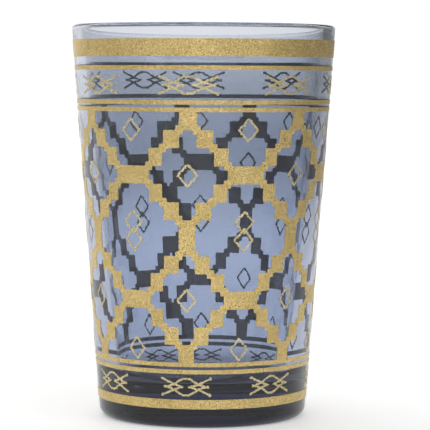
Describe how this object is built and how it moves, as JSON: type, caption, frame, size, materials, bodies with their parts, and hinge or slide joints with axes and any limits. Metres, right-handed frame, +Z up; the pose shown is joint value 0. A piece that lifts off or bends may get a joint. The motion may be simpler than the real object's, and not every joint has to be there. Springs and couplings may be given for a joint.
{
  "type": "tea glass",
  "caption": "Tapered pressed tea glass for mint tea, open at the top, with gold bands, star friezes and a stepped diamond lattice fired on the outside.",
  "frame": {"origin": "middle of the foot, on the plane that the glass stands on", "axes": "+Z up along the axis of the glass, -Y towards the front as pictured"},
  "size_m": [0.0606, 0.0606, 0.09],
  "materials": {
    "glass": "polished, fire-finished, faint smoke-blue tint",
    "gold": "satin fired gold print"
  },
  "bodies": {
    "root": {"glass_body": "glass", "rim_band": "gold", "rim_line": "gold", "upper_frieze": "gold", "upper_border": "gold", "lattice_top_line": "gold", "lattice": "gold", "lattice_bottom_line": "gold", "small_cell_diamonds": "gold", "large_cell_diamonds": "gold", "lower_border": "gold", "lower_frieze": "gold", "base_band": "gold"}
  },
  "joints": []
}
